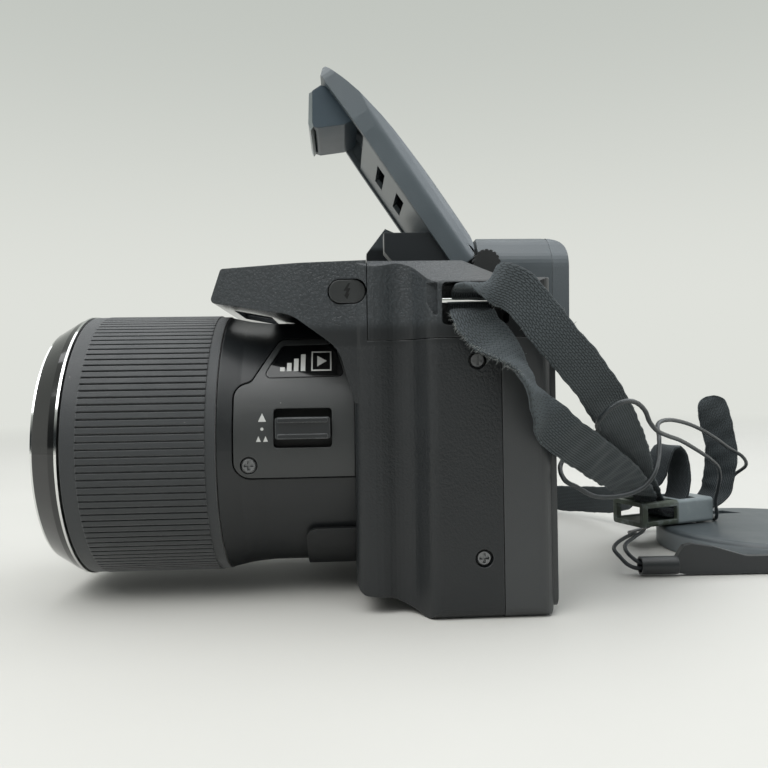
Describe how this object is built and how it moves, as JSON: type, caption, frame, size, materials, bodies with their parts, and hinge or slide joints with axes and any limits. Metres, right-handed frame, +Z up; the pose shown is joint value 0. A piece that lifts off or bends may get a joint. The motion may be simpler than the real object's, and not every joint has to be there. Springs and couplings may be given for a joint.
{
  "type": "bridge camera",
  "caption": "bridge camera with a long ribbed zoom lens, raised pop-up flash, viewfinder, deep grip, tripod socket, neck strap and tethered lens cap",
  "frame": {"origin": "the mouth of the tripod socket in the flat base, below the lens axis", "axes": "+Z up, the base on z = 0; the lens faces -Y; the hand grip is on -X"},
  "size_m": [0.1969, 0.218, 0.1224],
  "materials": {
    "shell_black": "black moulded plastic, fine leather grain",
    "grip_rubber": "black bonded rubber skin with a leather grain",
    "soft_rubber": "soft matt black rubber",
    "sleeve_rubber": "dusty charcoal ribbed rubber",
    "barrel_satin": "satin black plastic",
    "gloss_black": "gloss black plastic",
    "chrome": "bright plated metal",
    "steel": "plain steel",
    "black_steel": "blackened steel screws",
    "lens_glass": "coated optical glass",
    "diffuser": "clear ribbed plastic",
    "reflector": "polished foil",
    "flash_satin": "bluish grey satin plastic",
    "flash_inner": "grey plastic with a soft gloss",
    "evf_satin": "smooth satin black plastic",
    "screen_gloss": "smoked clear screen window",
    "display_dark": "dark display glass",
    "sensor_dark": "image sensor package",
    "board_green": "green circuit board",
    "inner_alloy": "stamped alloy plate",
    "inner_plastic": "black moulded plastic",
    "cell_jacket": "plain printed metal jacket",
    "webbing": "black woven nylon webbing",
    "slider_grey": "grey moulded plastic",
    "cap_grey": "dark grey plastic with a sheen",
    "tether_black": "braided synthetic cord with a sheen"
  },
  "bodies": {
    "camera_body": {"front_cover": "shell_black", "top_cover": "shell_black", "rear_cover": "shell_black", "grip_rubber": "grip_rubber", "battery_door_pin": "steel", "terminal_block": "steel", "tripod_socket": "steel", "strap_lugs": "chrome", "lens_barrel": "barrel_satin", "lens_sleeve": "sleeve_rubber", "lens_bezel": "gloss_black", "lens_bright_rings": "chrome", "lens_chassis": "inner_plastic", "image_sensor": "sensor_dark", "zoom_plate": "barrel_satin", "badge_plate": "gloss_black", "case_screws": "black_steel", "flash_hinge_pin": "steel", "flash_spring": "steel", "evf_housing": "evf_satin", "evf_eyecup": "soft_rubber", "evf_lens": "lens_glass", "evf_display": "display_dark", "screen_window": "screen_gloss", "screen_panel": "display_dark", "main_board": "board_green", "inner_chassis": "inner_alloy", "battery_box": "inner_plastic", "aa_cells": "cell_jacket", "flash_capacitor": "cell_jacket", "neck_strap": "webbing", "strap_roll": "webbing", "strap_slider": "slider_grey", "lens_cap": "cap_grey", "cap_tether": "tether_black", "tether_bead": "soft_rubber"},
    "flash_unit": {"flash_cover": "flash_satin", "flash_inner_plate": "flash_inner", "flash_lamp_block": "flash_inner", "flash_window": "diffuser", "flash_reflector": "reflector", "flash_tube": "lens_glass"},
    "flash_release": {"flash_button": "barrel_satin"},
    "side_zoom": {"zoom_rocker": "barrel_satin"},
    "zoom_rear": {"zoom_tube_rear": "barrel_satin", "zoom_group_lens": "lens_glass"},
    "zoom_front": {"zoom_tube_front": "barrel_satin", "front_lens": "lens_glass"},
    "shutter": {"shutter_button": "barrel_satin"},
    "lever": {"zoom_lever": "barrel_satin"},
    "mode": {"mode_dial": "barrel_satin"},
    "command": {"command_dial": "barrel_satin"},
    "power": {"power_switch": "barrel_satin"},
    "diopter": {"diopter_dial": "soft_rubber"},
    "playback": {"playback_button": "soft_rubber"},
    "movie": {"movie_button": "soft_rubber"},
    "selector": {"selector_ring": "barrel_satin"},
    "ok": {"ok_button": "soft_rubber"},
    "battery_lid": {"battery_door": "shell_black"},
    "terminal_lid": {"terminal_door": "soft_rubber"}
  },
  "joints": [
    {"name": "flash_lift", "type": "hinge", "parent": "camera_body", "child": "flash_unit", "pos_m": [0, 0.0005, 0.077], "axis": [1, 0, 0], "range_deg": [0, 56], "stiffness_Nm_per_rad": 0.01, "springref_deg": -57.3},
    {"name": "flash_release_press", "type": "slide", "parent": "camera_body", "child": "flash_release", "axis": [-1, 0, 0], "range_m": [0, 0.0007], "stiffness_N_per_m": 700, "springref_m": -0.0006},
    {"name": "side_zoom_rock", "type": "slide", "parent": "camera_body", "child": "side_zoom", "axis": [0, 0, 1], "range_m": [-0.0015, 0.0015], "stiffness_N_per_m": 600},
    {"name": "zoom_rear_slide", "type": "slide", "parent": "camera_body", "child": "zoom_rear", "axis": [0, -1, 0], "range_m": [0, 0.024]},
    {"name": "zoom_front_slide", "type": "slide", "parent": "zoom_rear", "child": "zoom_front", "axis": [0, -1, 0], "range_m": [0, 0.024]},
    {"name": "shutter_press", "type": "slide", "parent": "camera_body", "child": "shutter", "axis": [0, 0, -1], "range_m": [0, 0.0012], "stiffness_N_per_m": 700, "springref_m": -0.0006},
    {"name": "zoom_lever_turn", "type": "hinge", "parent": "camera_body", "child": "lever", "pos_m": [-0.063, -0.0205, 0.068], "axis": [0, 0, 1], "range_deg": [-22, 22], "stiffness_Nm_per_rad": 0.02},
    {"name": "mode_dial_turn", "type": "hinge", "parent": "camera_body", "child": "mode", "pos_m": [-0.0535, 0.0015, 0.068], "axis": [0, 0, 1], "continuous": true},
    {"name": "command_dial_turn", "type": "hinge", "parent": "camera_body", "child": "command", "pos_m": [-0.073, 0.0056, 0.066], "axis": [0, 0, 1], "continuous": true},
    {"name": "power_slide", "type": "slide", "parent": "camera_body", "child": "power", "axis": [1, 0, 0], "range_m": [0, 0.003]},
    {"name": "diopter_turn", "type": "hinge", "parent": "camera_body", "child": "diopter", "pos_m": [0.015, 0.0059, 0.0755], "axis": [1, 0, 0], "range_deg": [-150, 150]},
    {"name": "playback_press", "type": "slide", "parent": "camera_body", "child": "playback", "axis": [0, -1, 0], "range_m": [0, 0.0007], "stiffness_N_per_m": 700, "springref_m": -0.0006},
    {"name": "movie_press", "type": "slide", "parent": "camera_body", "child": "movie", "axis": [0, -1, 0], "range_m": [0, 0.0007], "stiffness_N_per_m": 700, "springref_m": -0.0006},
    {"name": "selector_press", "type": "slide", "parent": "camera_body", "child": "selector", "axis": [0, -1, 0], "range_m": [0, 0.0007], "stiffness_N_per_m": 700, "springref_m": -0.0006},
    {"name": "ok_press", "type": "slide", "parent": "camera_body", "child": "ok", "axis": [0, -1, 0], "range_m": [0, 0.0007], "stiffness_N_per_m": 700, "springref_m": -0.0006},
    {"name": "battery_lid_turn", "type": "hinge", "parent": "camera_body", "child": "battery_lid", "pos_m": [-0.0474, -0.0136, 0.0017], "axis": [0, -1, 0], "range_deg": [0, 100]},
    {"name": "terminal_lid_turn", "type": "hinge", "parent": "camera_body", "child": "terminal_lid", "pos_m": [-0.0817, 0.0069, 0.034], "axis": [0, 0, 1], "range_deg": [0, 100]}
  ],
  "couplings": [
    {"joint": "zoom_front_slide", "follows": "zoom_rear_slide", "ratio": 1}
  ]
}
